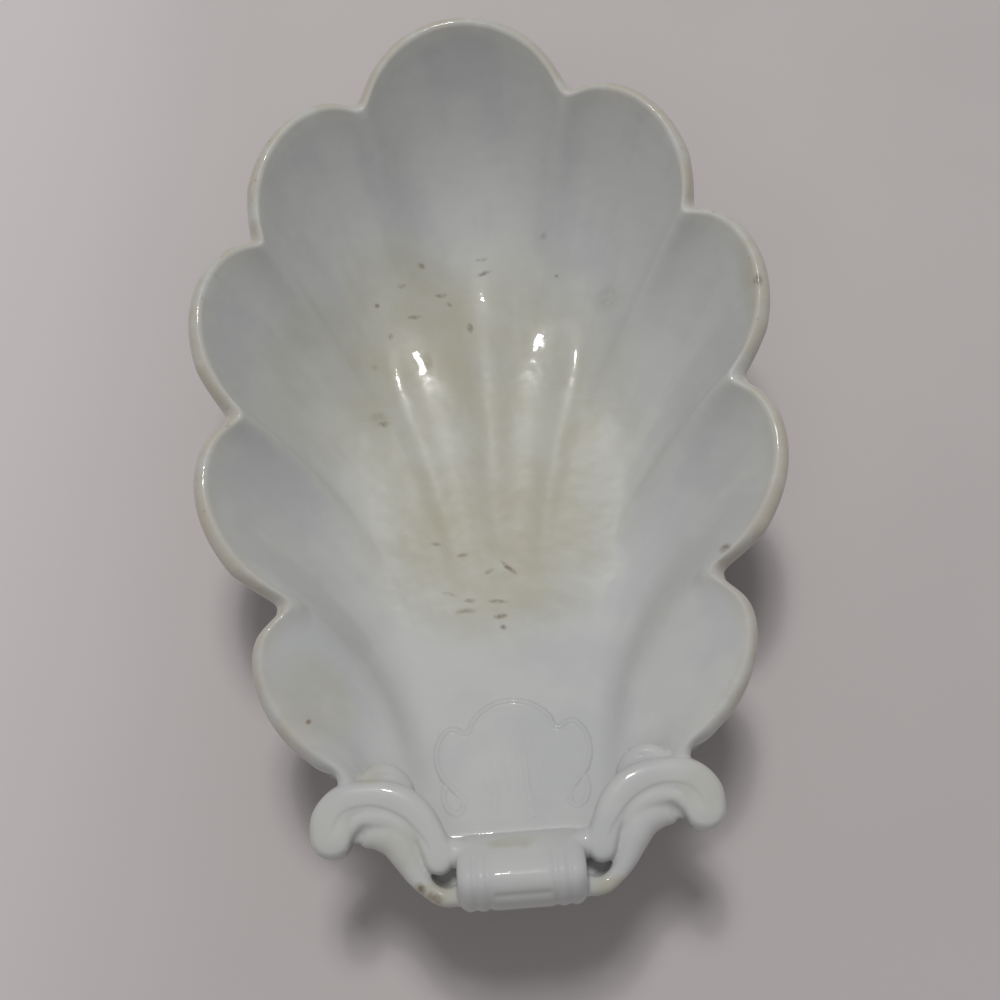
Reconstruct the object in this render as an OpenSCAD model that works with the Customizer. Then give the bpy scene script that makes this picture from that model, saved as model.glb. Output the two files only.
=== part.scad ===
// Shell dish: a footed serving dish of glazed white earthenware.
// A fluted shell bowl is pressed in a mould. An oval foot ring, a banded handle roll,
// a pair of scrolls and a small shell sprig are moulded apart and luted on with slip before firing.
// +Z is up, +Y runs from the handle to the back lobe, and the origin is on the table under the middle.

/* [Dish] */
// Length from the front of the handle roll to the back lobe
dish_length = 265; // [252:1:277]
// Width across the widest pair of lobes
dish_width = 168; // [160:1:176]
// Height of the back lobe's rim above the table
dish_height = 62; // [56:1:68]
// Thickness of the potted wall
wall = 4.5; // [3.8:0.1:5.2]

/* [Flutes] */
// Bulge of the back lobe, as a share of half its chord
back_bulge = 0.72; // [0.55:0.01:0.85]
// Bulge of the side lobes, as a share of half their chords
side_bulge = 0.49; // [0.35:0.01:0.6]
// Bulge of the lobes next to the handle, as a share of half their chords
last_bulge = 0.47; // [0.35:0.01:0.6]
// Depth of the flutes where they cross the floor
floor_ripple = 1.6; // [0.5:0.1:2.4]
// Rise of the back lobe's rim above the notches beside it
back_rise = 8; // [4:0.5:10]
// Fall of the rim from each notch to the next one towards the handle
notch_fall = 2; // [1:0.1:2.5]

/* [Foot] */
// Height of the foot ring
foot_h = 5; // [4:0.5:7]
// Radius of the foot ring's ends
foot_end_r = 22; // [20:0.5:23]
// Unit of the 3-4-5 triangles that set out the foot ring's oval
foot_unit = 8; // [7:0.5:8]

/* [Handle] */
// Height of the flat shelf that the scrolls and the roll are luted to
shelf_z = 39; // [36:0.5:42]
// Largest radius of the handle roll
roll_r = 8.9; // [8:0.1:9.5]
// Half length of the handle roll between the scrolls
roll_half = 13.6; // [13:0.1:13.7]

/* [Hidden] */
$fn = 48;

glaze = [0.86, 0.87, 0.85];
biscuit = [0.82, 0.78, 0.70];

half_w = dish_width / 2;
half_l = dish_length / 2;

// Notches between the lobes on the right, from the back to the handle, as shares of the half sizes.
notch_share = [[0.41, 0.811], [0.792, 0.465], [0.864, 0.03], [0.69, -0.403], [0.542, -0.755]];
side_lobes = 4;
last_u = side_lobes + 0.5;
flute_steps = 8;
line_steps = 22;
bead_steps = 4;
ridge_soft = 0.07;

floor_z = foot_h + wall;
front_y = -113;
front_half = 36;
shelf_front_y = -128;
shelf_flat_half = 14;
shelf_sweep = 12;

function mix(a, b, t) = a + (b - a) * t;
function clamp01(t) = max(0, min(1, t));
function ramp(t) = let (c = clamp01(t)) c * c * (3 - 2 * c);
function unit(p) = p / norm(p);

// Where a flute lies: u is 0 at the back lobe's middle, and each whole step is one flute.
function lobe(u) = min(side_lobes, floor(u + 0.5));
function across(u) = u + 0.5 - lobe(u);
function notch(k) = k == 0 ? [-notch(1).x, notch(1).y]
                           : [notch_share[k - 1].x * half_w, notch_share[k - 1].y * half_l];
function notch_z(k) = dish_height - back_rise - notch_fall * (max(k, 1) - 1);
function bulge(k) = k == 0 ? back_bulge : k == side_lobes ? last_bulge : side_bulge;
function lobe_rise(k) = k == 0 ? back_rise : 5.3 - 0.6 * k;
function lobe_skew(k) = k == 0 ? 1 : 0.82;
function lobe_span(k) = k == side_lobes ? 0.85 : 1;

// A lobe's round edge from 0 at its notches to 1 at its crown, with the notches eased.
function arc(t, q) = let (r = (1 + q * q) / (2 * q), c = 2 * t - 1) (sqrt(r * r - c * c) - r + q) / q;
function eased(a) = (norm([a, ridge_soft]) - ridge_soft) / (norm([1, ridge_soft]) - ridge_soft);
function scallop(u) = let (k = lobe(u), t = min(1, across(u) / lobe_span(k)))
    eased(max(0, arc(pow(t, lobe_skew(k)), bulge(k))));

// The rim's outer outline and height for u of 0 or more. Its tail runs out on the shelf.
function rim_plan(u) = let (k = lobe(u), a = notch(k), chord = notch(k + 1) - a)
    a + chord * across(u) + unit([-chord.y, chord.x]) * (norm(chord) / 2 * bulge(k) * scallop(u));
function tail(u) = ramp((abs(u) - last_u + 0.35) / 0.35);
function rim_z(u) = let (k = lobe(u)) mix(notch_z(k), notch_z(k + 1), across(u)) + lobe_rise(k) * scallop(u);

// A flute's line in plan, from the shelf to the rim, leaves the handle straight and fans out.
function heading(u) = 90 * pow(1 - u / last_u, 1.55);
function fan_way(u) = [cos(heading(u)), sin(heading(u))];
function front_plan(u) = [front_half * pow(u / last_u, 1.2), front_y];
function rim_in(u) = rim_plan(u) - wall * mix(0.9, 0.4, tail(u)) * fan_way(u);
function flute_line(u, v) =
    let (f = front_plan(u), r = rim_in(u), d = norm(r - f),
         p1 = f + [0, 0.43 * d], p2 = r - 0.27 * d * fan_way(u), w = 1 - v)
    w * w * w * f + 3 * w * w * v * p1 + 3 * w * v * v * p2 + v * v * v * r;

// The bowl's faces: a wall that rises to the rim, a slope that rises to the shelf, and the flutes.
// Inside, floor and slope are one long curve. Outside, a flat base is left for the foot ring.
// The lobes beside the handle are shallow scoops, a little lower than the shelf.
inside = 0;
outside = 1;
wall_reach = [46, 36];
wall_more = [34, 26];
wall_power = [2.7, 2.1];
slope_start_y = [35, -26];
scoop_start = 2.95;
scoop_share = 0.95;
scoop_dip = 0.08;
function wall_run(u, side) = wall_reach[side] + wall_more[side] * pow(1 - u / last_u, 1.2);
function front_slope(y, side) = let (t = clamp01((slope_start_y[side] - y) / (slope_start_y[side] - front_y)))
    side == inside ? mix(pow(t, 4), t * t, 0.65) : 1.5 * t * t / (t + 0.5);
function scoop(u) = scoop_share * ramp((u - scoop_start) / (side_lobes - scoop_start));
function front_z(y) = mix(floor_z, shelf_z, front_slope(y, inside));
function face_half(u, v, ripple, side) =
    let (p = flute_line(u, v),
         from_rim = norm(p - rim_in(u)),
         wall_share = pow(clamp01(1 - from_rim / wall_run(u, side)), wall_power[side]) * ramp(v / 0.6),
         slope_share = front_slope(p.y, side),
         front_share = mix(slope_share, 1 - scoop_dip * ramp(v / 0.25), scoop(u)),
         flute = ripple * (0.5 - scallop(u)) * (1 - wall_share) * (1 - slope_share) * ramp(v / 0.3))
    [p.x, p.y, mix(floor_z + (rim_z(u) - wall / 3 - floor_z) * wall_share
                   + (shelf_z - floor_z) * front_share * (1 - wall_share) + flute, shelf_z, tail(u))];
function face(u, v, ripple, side) = let (p = face_half(abs(u), v, ripple, side)) u < 0 ? [-p.x, p.y, p.z] : p;
function inner(u, v) = face(u, v, floor_ripple, inside);
function base(u, v) = face(u, v, 0, outside);

// Directions on the base form: across the flutes, along them, and square to it.
across_step = 0.25;
along_step = 0.03;
function along_way(u, v) = unit(base(u, min(1, v + along_step)) - base(u, max(0, v - along_step)));
function level_off(p, share) = unit([p.x, p.y, p.z * (1 - share)]);
function across_way(u, v) =
    level_off(base(min(last_u, u + across_step), v) - base(max(-last_u, u - across_step), v),
              ramp((abs(u) - last_u + 0.9) / 0.4));
function square_way(u, v) = unit(mix(unit(cross(across_way(u, v), along_way(u, v))), [0, 0, 1], tail(u)));
function outer(u, v) = base(u, v) - wall * square_way(u, v);

// The flat shelf in front of the bowl, under the scrolls and the roll.
function shelf_front(x) = shelf_front_y
    + shelf_sweep * pow(max(0, abs(x) - shelf_flat_half) / (front_half - shelf_flat_half), 2);

// One closed section of the bowl's wall along a flute: shelf, inner face, rim bead, outer face, shelf.
function bead(u) = let (n = square_way(u, 1), t = along_way(u, 1), m = base(u, 1) - wall / 2 * n)
    [for (i = [1:bead_steps - 1]) let (a = 180 * i / bead_steps) m + wall / 2 * (cos(a) * n + sin(a) * t)];
function wall_section(u) =
    let (f = base(u, 0), g = [f.x, shelf_front(f.x), shelf_z])
    concat([g],
           [for (j = [0:line_steps]) inner(u, j / line_steps)],
           bead(u),
           [for (j = [line_steps:-1:1]) outer(u, j / line_steps)],
           [[f.x, f.y, shelf_z - wall], [g.x, g.y, shelf_z - wall]]);

// Triangles that join closed sections into one solid, with the two end sections closed in strips.
function skin(sections, size) = [for (i = [0:sections - 2], j = [0:size - 1])
    let (a = i * size + j, b = i * size + (j + 1) % size) each [[a, b, b + size], [a, b + size, a + size]]];
function end_strip(first, size, flip) = [for (j = [0:floor((size - 1) / 2) - 1])
    let (a = first + j, b = first + j + 1, c = first + size - 2 - j, d = first + size - 1 - j)
    each (b == c ? [flip ? [a, d, b] : [a, b, d]]
                 : flip ? [[a, d, c], [a, c, b]] : [[a, b, c], [a, c, d]])];
function loft_faces(sections, size) = concat(
    skin(sections, size),
    end_strip(0, size, true),
    end_strip((sections - 1) * size, size, false));

module loft(sections) {
    size = len(sections[0]);
    polyhedron(points = [for (s = sections) each s], faces = loft_faces(len(sections), size));
}

// Sections stand closer together beside the notches, where the rim turns fastest.
function flute_share(i) = let (t = i / flute_steps) mix(t, (1 - cos(180 * t)) / 2, 0.5);
right_columns = concat(
    [for (i = [flute_steps / 2:flute_steps]) flute_share(i) - 0.5],
    [for (k = [1:side_lobes], i = [1:flute_steps])
        k - 0.5 + lobe_span(k) * pow(flute_share(i), 1 / lobe_skew(k))],
    [last_u - 0.075, last_u]);
left_columns = [for (i = [len(right_columns) - 1:-1:1]) -right_columns[i]];

module shell_bowl() {
    color(glaze) loft([for (u = concat(left_columns, right_columns)) wall_section(u)]);
}

// The foot ring is a four-centre oval set out on 3-4-5 triangles: two end arcs and two side arcs
// of one turned section, cut where the arcs run into each other.
foot_mid_y = 17;
foot_top = 7;
foot_land = [1.8, 5];
foot_edge = 0.7;

module foot_section(r) {
    polygon([[r, foot_h], [r - foot_top, foot_h], [r - foot_land[1] - 0.6, foot_edge],
             [r - foot_land[1], 0], [r - foot_land[0], 0], [r - foot_land[0] + 0.6, foot_edge]]);
}

module foot_arc(r, wedge) {
    intersection() {
        rotate_extrude() foot_section(r);
        linear_extrude(height = foot_h) polygon(wedge);
    }
}

module foot_ring() {
    end_wedge = foot_unit * [[0, 0], [8, 6], [0, 12], [-8, 6]];
    side_wedge = foot_unit * [[0, 0], [16, -12], [16, 12]];
    color(biscuit) translate([0, foot_mid_y, 0]) for (s = [0, 1]) {
        mirror([0, s, 0]) translate([0, 3 * foot_unit, 0]) foot_arc(foot_end_r, end_wedge);
        mirror([s, 0, 0]) translate([-4 * foot_unit, 0, 0]) foot_arc(foot_end_r + 5 * foot_unit, side_wedge);
    }
}

// The handle roll: a turned bar with a plain middle panel, a bead at each side of it, and plain collars.
// It is cut to seat on the shelf's front edge and to clear the curled ends of the scrolls.
roll_y = -half_l + roll_r;
roll_z = shelf_z + 4.5;
panel_half = 8;
bead_half = 1.3;
bead_mid = panel_half + 0.4 + bead_half;

module roll_half_section() {
    bead_points = [for (a = [0:30:180]) [roll_r - 0.9 + 0.9 * sin(a), bead_mid - bead_half * cos(a)]];
    polygon(concat(
        [[0, 0], [roll_r - 0.5, 0], [roll_r - 0.5, panel_half]],
        bead_points,
        [[roll_r - 0.5, bead_mid + bead_half + 0.5], [roll_r - 0.8, roll_half], [0, roll_half]]));
}

module handle_roll() {
    color(glaze) difference() {
        translate([0, roll_y, roll_z]) for (s = [0, 1]) mirror([s, 0, 0]) rotate([0, 90, 0])
            rotate_extrude() roll_half_section();
        translate([-half_w, shelf_front_y - 0.1, shelf_z - 2 * roll_r])
            cube([dish_width, 4 * roll_r, 2 * roll_r]);
    }
}

// A scroll is two rolls of clay laid side by side and thumbed together.
// The main roll runs from its ball end over the crown and curls in behind the handle roll.
// The inner roll starts in the crook of the main roll, comes down as the leg and curls round the eye.
// A thin roll of slip fills the groove between them, the ear lies behind the crown, and a bed of clay
// under the crown takes the shape of the bowl that it is pressed on.
// Each station has its place, its height above the shelf and its radius.
main_stations = [
    [45.8, -113.2, 3.2, 6], [45.4, -109.2, 3.2, 6], [42.2, -104.8, 3, 5.8], [36.8, -103.2, 3, 5.6],
    [31.4, -104.2, 3, 5.4], [27.2, -107.2, 3.2, 4.6], [24.4, -110.6, 3.8, 3.8], [22.2, -114.6, 4.4, 3.6],
    [20.6, -118.6, 4.8, 4.1], [17.8, -119.2, 5, 4.1]];
inner_stations = [
    [38, -113.2, 1.8, 2.8], [34.4, -112.8, 2, 4.2], [30.4, -114.2, 2, 5], [27.6, -118.8, 2.4, 4.3],
    [26.8, -123.4, 3, 2.9], [25.2, -127, 3.2, 2.6], [21.6, -129.4, 3.2, 2.6], [17.8, -129.6, 3.2, 2.6],
    [16.1, -128.4, 3.2, 2.3]];
groove_stations = [
    [41, -112, 1, 2.2], [39, -110, 1.2, 2.4], [35, -109.2, 1.4, 2.6], [30, -110.4, 1.8, 2.8],
    [26, -114, 2.4, 2.8]];
ear_stations = [[38, -98.8, 1.2, 3], [32, -99.2, 1, 2.8]];
bed_stations = [
    [41.6, -103.8, 1.6, 5], [36.8, -102, 1.8, 5.2], [31.4, -103, 1.4, 5.2], [27, -107.4, 1, 4.4]];

module rolled_clay(stations) {
    for (i = [0:len(stations) - 2]) hull() for (s = [stations[i], stations[i + 1]])
        translate([s[0], s[1], shelf_z + s[2]]) sphere(r = s[3], $fn = 14);
}

module right_scroll() {
    color(glaze) difference() {
        union() {
            rolled_clay(main_stations);
            rolled_clay(inner_stations);
            rolled_clay(groove_stations);
            rolled_clay(ear_stations);
            rolled_clay(bed_stations);
        }
        shell_bowl();
    }
}

module left_scroll() {
    mirror([1, 0, 0]) right_scroll();
}

// The shell sprig: a thin moulded shell of three lobes, pressed on to the front slope.
sprig_crown_y = -77.7;
sprig_lobe = [16.6, -90];
sprig_lobe_r = 5.2;
sprig_notch_x = 12.4;
sprig_foot = [15.7, -108];
sprig_rise = 1;
sprig_columns = 36;
sprig_rows = 8;

sprig_half = sprig_lobe.x + sprig_lobe_r;
function side_lobe_top(x) = sprig_lobe.y + sqrt(max(0, pow(sprig_lobe_r, 2) - pow(x - sprig_lobe.x, 2)));
sprig_sag = sprig_crown_y - side_lobe_top(sprig_notch_x);
sprig_r = (pow(sprig_notch_x, 2) + pow(sprig_sag, 2)) / (2 * sprig_sag);
function quarter(t) = sqrt(max(0, 1 - t * t));
function sprig_top(x) = x < sprig_notch_x ? sprig_crown_y - sprig_r + sqrt(sprig_r * sprig_r - x * x)
                                          : side_lobe_top(x);
function sprig_base(x) = x < sprig_foot.x ? sprig_foot.y
    : mix(sprig_lobe.y, sprig_foot.y, quarter((x - sprig_foot.x) / (sprig_half - sprig_foot.x)));
function sprig_relief(x, q) = sprig_rise * quarter(2 * q - 1) * (0.2 + 0.8 * quarter(x / sprig_half));
function sprig_point(x, q, share) =
    let (y = mix(sprig_base(abs(x)), sprig_top(abs(x)), q)) [x, y, front_z(y) + share * sprig_relief(x, q)];
function sprig_section(x) = concat(
    [for (j = [0:sprig_rows]) sprig_point(x, j / sprig_rows, 1)],
    [for (j = [sprig_rows - 1:-1:1]) sprig_point(x, j / sprig_rows, 0)]);

module shell_sprig() {
    color(glaze) loft([for (i = [0:sprig_columns])
        sprig_section(sprig_half * sin(mix(-86, 86, i / sprig_columns)))]);
}

shell_bowl();
foot_ring();
handle_roll();
left_scroll();
right_scroll();
shell_sprig();
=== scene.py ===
"""Worn white shell dish: the visual model, its table, light and camera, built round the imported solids."""
import math

import bpy
import numpy as np
from mathutils import Matrix, Vector


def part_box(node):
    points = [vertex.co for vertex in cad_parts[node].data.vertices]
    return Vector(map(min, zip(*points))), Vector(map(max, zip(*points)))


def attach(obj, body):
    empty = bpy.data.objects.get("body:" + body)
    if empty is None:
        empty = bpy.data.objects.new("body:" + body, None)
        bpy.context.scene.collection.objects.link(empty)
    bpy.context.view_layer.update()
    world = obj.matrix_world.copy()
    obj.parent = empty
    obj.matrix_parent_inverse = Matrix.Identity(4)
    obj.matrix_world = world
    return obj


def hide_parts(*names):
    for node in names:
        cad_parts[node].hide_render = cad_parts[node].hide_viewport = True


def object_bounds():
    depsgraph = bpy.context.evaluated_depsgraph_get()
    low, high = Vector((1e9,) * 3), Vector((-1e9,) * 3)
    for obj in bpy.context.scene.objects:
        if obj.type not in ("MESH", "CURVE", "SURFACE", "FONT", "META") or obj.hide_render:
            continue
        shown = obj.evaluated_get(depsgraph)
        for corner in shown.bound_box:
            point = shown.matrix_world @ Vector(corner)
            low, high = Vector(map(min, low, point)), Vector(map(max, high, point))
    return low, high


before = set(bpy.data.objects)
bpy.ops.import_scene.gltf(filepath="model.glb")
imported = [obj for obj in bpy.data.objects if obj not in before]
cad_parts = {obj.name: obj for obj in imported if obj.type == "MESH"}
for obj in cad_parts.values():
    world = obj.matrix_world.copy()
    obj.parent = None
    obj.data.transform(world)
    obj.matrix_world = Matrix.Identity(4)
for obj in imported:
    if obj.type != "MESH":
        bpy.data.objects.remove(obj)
cad_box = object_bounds()
bpy.ops.object.select_all(action="DESELECT")

# Shell bowl
# A sheet of white earthenware, pressed in a fluted mould, trimmed along its lobes and dipped in clear glaze.
# Nine flutes run down its wall, cross the floor and gather on the slope that rises to the handle.
# A flat shelf at the top of the slope carries the handle's pieces. All sizes here are in millimetres.
mm = 0.001
bowl_low, bowl_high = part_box("shell_bowl")
half_width = 0.9945 * bowl_high.x / mm
half_length = (cad_box[1].y - cad_box[0].y) / 2 / mm
rim_height = bowl_high.z / mm + 0.4
wall = 4.5
floor_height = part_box("foot_ring")[1].z / mm + wall
shelf_height = 39.0
slope_end_y = -114.2
slope_half_width = 36.0
shelf_front_y = bowl_low.y / mm
shelf_flat_half = 14.0
shelf_sweep = 17.0

# The floor is cupped across, and its flutes are ripples that fade towards the sides and the shelf.
floor_cup = 0.0016
floor_ripple = 1.6
rippled_flutes = 0.8
ripple_fade = 0.6
ripple_start = 0.2
ripple_run = 0.45

# Inside, floor and slope are one long curve. Outside, a flat base is left for the foot ring.
inside = 0
outside = 1
slope_start_y = (35.0, -26.0)
wall_reach = (46.0, 36.0)
wall_more = (34.0, 26.0)
wall_power = (2.7, 2.1)
wall_fade_power = 1.2
wall_begin = 0.6

# The last lobes are scooped out beside the slope, and their rim runs out on the shelf.
scoop_start = 2.75
scoop_end = 3.85
scoop_full = 0.95
scoop_sink = 0.08
scoop_run = 0.25
scoop_dip = 2.0
dip_run = 0.4
tail_rise = 4.5
tail_run = 0.2

# How a flute's line leaves the shelf, spreads out and comes to the rim.
gather_power = 1.2
fan_power = 1.55
start_pull = 0.43
rim_pull = 0.27
rim_inset = 0.9
tail_inset = 0.4

# The back lobe comes first, then the side lobes towards the handle. Notches are shares of the half sizes.
last_flute = 4.5
lobe_bulge = np.array([0.755, 0.49, 0.49, 0.49, 0.52])
lobe_skew = np.array([1, 0.82, 0.82, 0.82, 0.7])
lobe_span = np.array([1, 1, 1, 1, 0.92])
lobe_rise = np.array([8, 4.7, 4.1, 3.5, 2.9])
notch_drop = np.array([8, 8, 10, 12, 14, 16])
notch_share = [
    [-0.392, 0.811], [0.392, 0.811], [0.792, 0.465], [0.864, 0.03], [0.69, -0.403], [0.524, -0.772],
]
notches = np.array(notch_share) * [half_width, half_length]
ridge_soft = 0.05
rim_fuller = 1.14
notch_fuller = 0.5
notch_sharp = 4
notch_end = 3.9
notch_end_run = 0.3


def mix(first, second, share):
    return first + (second - first) * share


def ramp(share):
    kept = np.clip(share, 0, 1)
    return kept * kept * (3 - 2 * kept)


def unit(ways):
    return ways / np.linalg.norm(ways, axis=-1, keepdims=True)


def lobe_of(flute):
    """Number of the lobe at a place across the flutes, where 0 is the back lobe's middle."""
    return np.minimum(4, np.floor(flute + 0.5)).astype(int)


def scallop(flute):
    """A lobe's round edge, from 0 at its notches to 1 at its crown."""
    lobe = lobe_of(flute)
    bulge = lobe_bulge[lobe]
    across = np.minimum(1, (flute + 0.5 - lobe) / lobe_span[lobe]) ** lobe_skew[lobe]
    radius = (1 + bulge * bulge) / (2 * bulge)
    side = 2 * across - 1
    arc = np.maximum(0, (np.sqrt(np.maximum(0, radius**2 - side**2)) - radius + bulge) / bulge)
    return (np.hypot(arc, ridge_soft) - ridge_soft) / (np.hypot(1, ridge_soft) - ridge_soft)


def rim_tail(flute):
    """Where the rim runs out on the shelf, under the scroll."""
    return ramp((np.abs(flute) - last_flute + tail_run) / tail_run)


def rim_plan(flute):
    """The rim seen from above: a round lobe on each chord between two notches."""
    lobe = lobe_of(flute)
    start = notches[lobe]
    chord = notches[lobe + 1] - start
    length = np.linalg.norm(chord, axis=-1, keepdims=True)
    outward = np.stack([-chord[..., 1], chord[..., 0]], -1) / length
    along = (flute + 0.5 - lobe)[..., None]
    return start + chord * along + outward * length / 2 * (lobe_bulge[lobe] * scallop(flute))[..., None]


def rim_line(flute):
    """The rim's height, which falls from the back lobe to the handle and rises on each lobe."""
    lobe = lobe_of(flute)
    base = rim_height - mix(notch_drop[lobe], notch_drop[lobe + 1], flute + 0.5 - lobe)
    return base + lobe_rise[lobe] * scallop(flute)


def rim_width(flute):
    """The rim is a little fuller than the wall, and wider again in its notches."""
    notch = (1 - scallop(flute)) ** notch_sharp * (1 - ramp((flute - notch_end) / notch_end_run))
    return wall * (rim_fuller + notch_fuller * notch)


def fan_way(flute):
    """The way in which a flute comes to the rim, seen from above."""
    heading = np.radians(90 * np.maximum(0, 1 - flute / last_flute) ** fan_power)
    return np.stack([np.cos(heading), np.sin(heading)], -1)


def slope_share(y, side):
    """How far the front slope has risen, from 0 on the floor to 1 at the shelf."""
    along = np.clip((slope_start_y[side] - y) / (slope_start_y[side] - slope_end_y), 0, 1)
    if side == inside:
        return mix(along**4, along**2, 0.65)
    return 1.5 * along**2 / (along + 0.5)


def face(signed_flute, along, ripple, side):
    """A point on one of the bowl's forms: along is 0 at the shelf and 1 at the rim."""
    flute = np.abs(signed_flute)
    start_x = slope_half_width * (flute / last_flute) ** gather_power
    start = np.stack([start_x, np.full_like(flute, slope_end_y)], -1)
    inset = mix(rim_inset * rim_width(flute), tail_inset * wall, rim_tail(flute))
    rim = rim_plan(flute) - inset[..., None] * fan_way(flute)
    reach = np.linalg.norm(rim - start, axis=-1, keepdims=True)
    second = start + np.concatenate([0 * reach, start_pull * reach], -1)
    third = rim - rim_pull * reach * fan_way(flute)
    t = along[..., None]
    plan = (1 - t) ** 3 * start + 3 * (1 - t) ** 2 * t * second + 3 * (1 - t) * t**2 * third + t**3 * rim
    wall_run = wall_reach[side] + wall_more[side] * (1 - flute / last_flute) ** wall_fade_power
    climb = np.clip(1 - np.linalg.norm(plan - rim, axis=-1) / wall_run, 0, 1) ** wall_power[side]
    climb = climb * ramp(along / wall_begin)
    slope = slope_share(plan[..., 1], side)
    outer_fade = 1 - ramp((flute - rippled_flutes) / ripple_fade)
    groove = -ripple / 2 * np.cos(2 * np.pi * flute) * ramp((along - ripple_start) / ripple_run) * outer_fade
    groove = groove * (1 - climb) ** 3 * (1 - slope) ** 0.6
    cup = floor_cup * plan[..., 0] ** 2 * (1 - climb) * (1 - slope)
    scoop_share = scoop_full * ramp((flute - scoop_start) / (scoop_end - scoop_start))
    slope = mix(slope, 1 - scoop_sink * ramp(along / scoop_run), scoop_share)
    height = floor_height + (rim_line(flute) - wall / 3 - floor_height) * climb
    height = height + (shelf_height - floor_height) * slope * (1 - climb) + groove + cup
    dip = np.sin(np.pi * np.clip(flute - last_flute + 1, 0, 1)) ** 2 * ramp(along / dip_run) * (1 - climb)
    tail_height = shelf_height + tail_rise * ramp(along)
    height = mix(height - scoop_dip * scoop_share * dip, tail_height, rim_tail(flute))
    return np.stack([plan[..., 0] * np.sign(signed_flute), plan[..., 1], height], -1)


# The softening of the ridges: its reach across the flutes on the floor, at the rim and more on the low lobes.
floor_blur = 0.12
rim_blur = 0.022
crisp_from = 0.48
crisp_run = 0.52
low_lobe_blur = 0.06
low_lobe_from = 2
low_lobe_run = 1.3
low_rim_from = 0.85
low_rim_run = 0.15
low_rim_crisper = 0.7
ridge_taps = np.linspace(-2, 2, 21)
ridge_shares = np.exp(-(ridge_taps**2) / 2)
ridge_shares = ridge_shares / ridge_shares.sum()


def soft_face(flute, along, ripple, side):
    """A face as the glaze leaves it: ridges are crisp at the rim and rounded on the floor."""
    reach = mix(floor_blur, rim_blur, ramp((along - crisp_from) / crisp_run))
    low_lobe = ramp((np.abs(flute) - low_lobe_from) / low_lobe_run)
    crisper = low_rim_crisper * ramp((along - low_rim_from) / low_rim_run)
    reach = reach + low_lobe_blur * low_lobe * (1 - crisper)
    points = 0
    for tap, share in zip(ridge_taps, ridge_shares):
        beside = np.clip(flute + tap * reach, -last_flute, last_flute)
        points = points + share * face(beside, along, ripple, side)
    return points


along_step = 0.03
across_step = 0.25
level_from = 0.9
level_run = 0.4


def face_ways(flute, along):
    """Directions square to the outer form and along it. At the shelf's ends the form is taken as level."""
    ahead = soft_face(flute, np.minimum(1, along + along_step), 0, outside)
    behind = soft_face(flute, np.maximum(0, along - along_step), 0, outside)
    right = face(np.minimum(last_flute, flute + across_step), along, 0, outside)
    left = face(np.maximum(-last_flute, flute - across_step), along, 0, outside)
    across = right - left
    across[..., 2] *= 1 - ramp((np.abs(flute) - last_flute + level_from) / level_run)
    square = unit(np.cross(across, ahead - behind))
    upright = rim_tail(flute)[..., None]
    return unit(mix(square, np.array([0, 0, 1.0]), upright)), unit(ahead - behind)


shelf_thinning = 0.65
thin_from = 3.7
thin_run = 0.7
thin_up_to = 0.25
thin_fade = 0.4


def shelf_taper(flute, along):
    """Share of the wall's thickness: the shelf thins out at its ends, under the scrolls."""
    end = ramp((np.abs(flute) - thin_from) / thin_run)
    return 1 - shelf_thinning * end * (1 - ramp((along - thin_up_to) / thin_fade))


def shelf_front(x):
    """The shelf's front edge, straight behind the bar and swept back at its ends."""
    beyond = np.maximum(0, np.abs(x) - shelf_flat_half) / (slope_half_width - shelf_flat_half)
    return shelf_front_y + shelf_sweep * beyond**2


# Places across the flutes, closer together beside the notches.
flute_columns = 44
tail_columns = 8
notch_crowding = 0.6
even = np.linspace(0, 1, flute_columns + 1)
eased = mix(even, (1 - np.cos(np.pi * even)) / 2, notch_crowding)
right_half = [eased[flute_columns // 2:] - 0.5]
for lobe_number in range(1, 5):
    right_half.append(lobe_number - 0.5 + lobe_span[lobe_number] * eased[1:])
right_half.append(np.linspace(last_flute - 1 + lobe_span[4], last_flute, tail_columns)[1:])
right_half = np.concatenate(right_half)
columns = np.concatenate([-right_half[:0:-1], right_half])

# One closed section at each place: shelf, inner face, rim bead, outer face, under the shelf, front bead.
wall_rows = 100
outer_rows = 46
outer_end = 0.02
bead_from = 0.82
bead_run = 0.18
bead_rows = 14
bead_reach = 0.95
bead_power = 0.95
lip_rows = 9
lip_end_share = 0.35
shelf_least = 0.6
inner_flute, inner_along = np.meshgrid(columns, np.linspace(0, 1, wall_rows + 1), indexing="ij")
inner_points = soft_face(inner_flute, inner_along, floor_ripple, inside)
outer_flute, outer_along = np.meshgrid(columns, np.linspace(1, outer_end, outer_rows), indexing="ij")
outer_square, _ = face_ways(outer_flute, outer_along)
outer_depth = mix(wall, rim_width(np.abs(outer_flute)), ramp((outer_along - bead_from) / bead_run))
outer_depth = outer_depth * shelf_taper(outer_flute, outer_along)
outer_points = soft_face(outer_flute, outer_along, 0, outside) - outer_depth[..., None] * outer_square
rim_square, rim_way = face_ways(columns, np.ones_like(columns))
bead_half = rim_width(np.abs(columns))[:, None] / 2
bead_middle = inner_points[:, -1] - bead_half * rim_square
bead_turn = np.radians(np.linspace(0, 180, bead_rows)[1:-1])
bead_cos = np.sign(np.cos(bead_turn)) * np.abs(np.cos(bead_turn)) ** bead_power
bead_sin = bead_reach * np.sin(bead_turn) ** bead_power
bead_points = bead_middle[:, None] + bead_cos[None, :, None] * (bead_half * rim_square)[:, None]
bead_points = bead_points + wall / 2 * bead_sin[None, :, None] * rim_way[:, None]
edge = inner_points[:, 0]
front_edge_y = np.minimum(shelf_front(edge[:, 0]) + wall / 2, slope_end_y - shelf_least)
lip_reach = wall / 2 * mix(1, lip_end_share, np.abs(edge[:, 0]) / slope_half_width)
shelf_depth = wall * shelf_taper(columns, 0)


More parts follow.
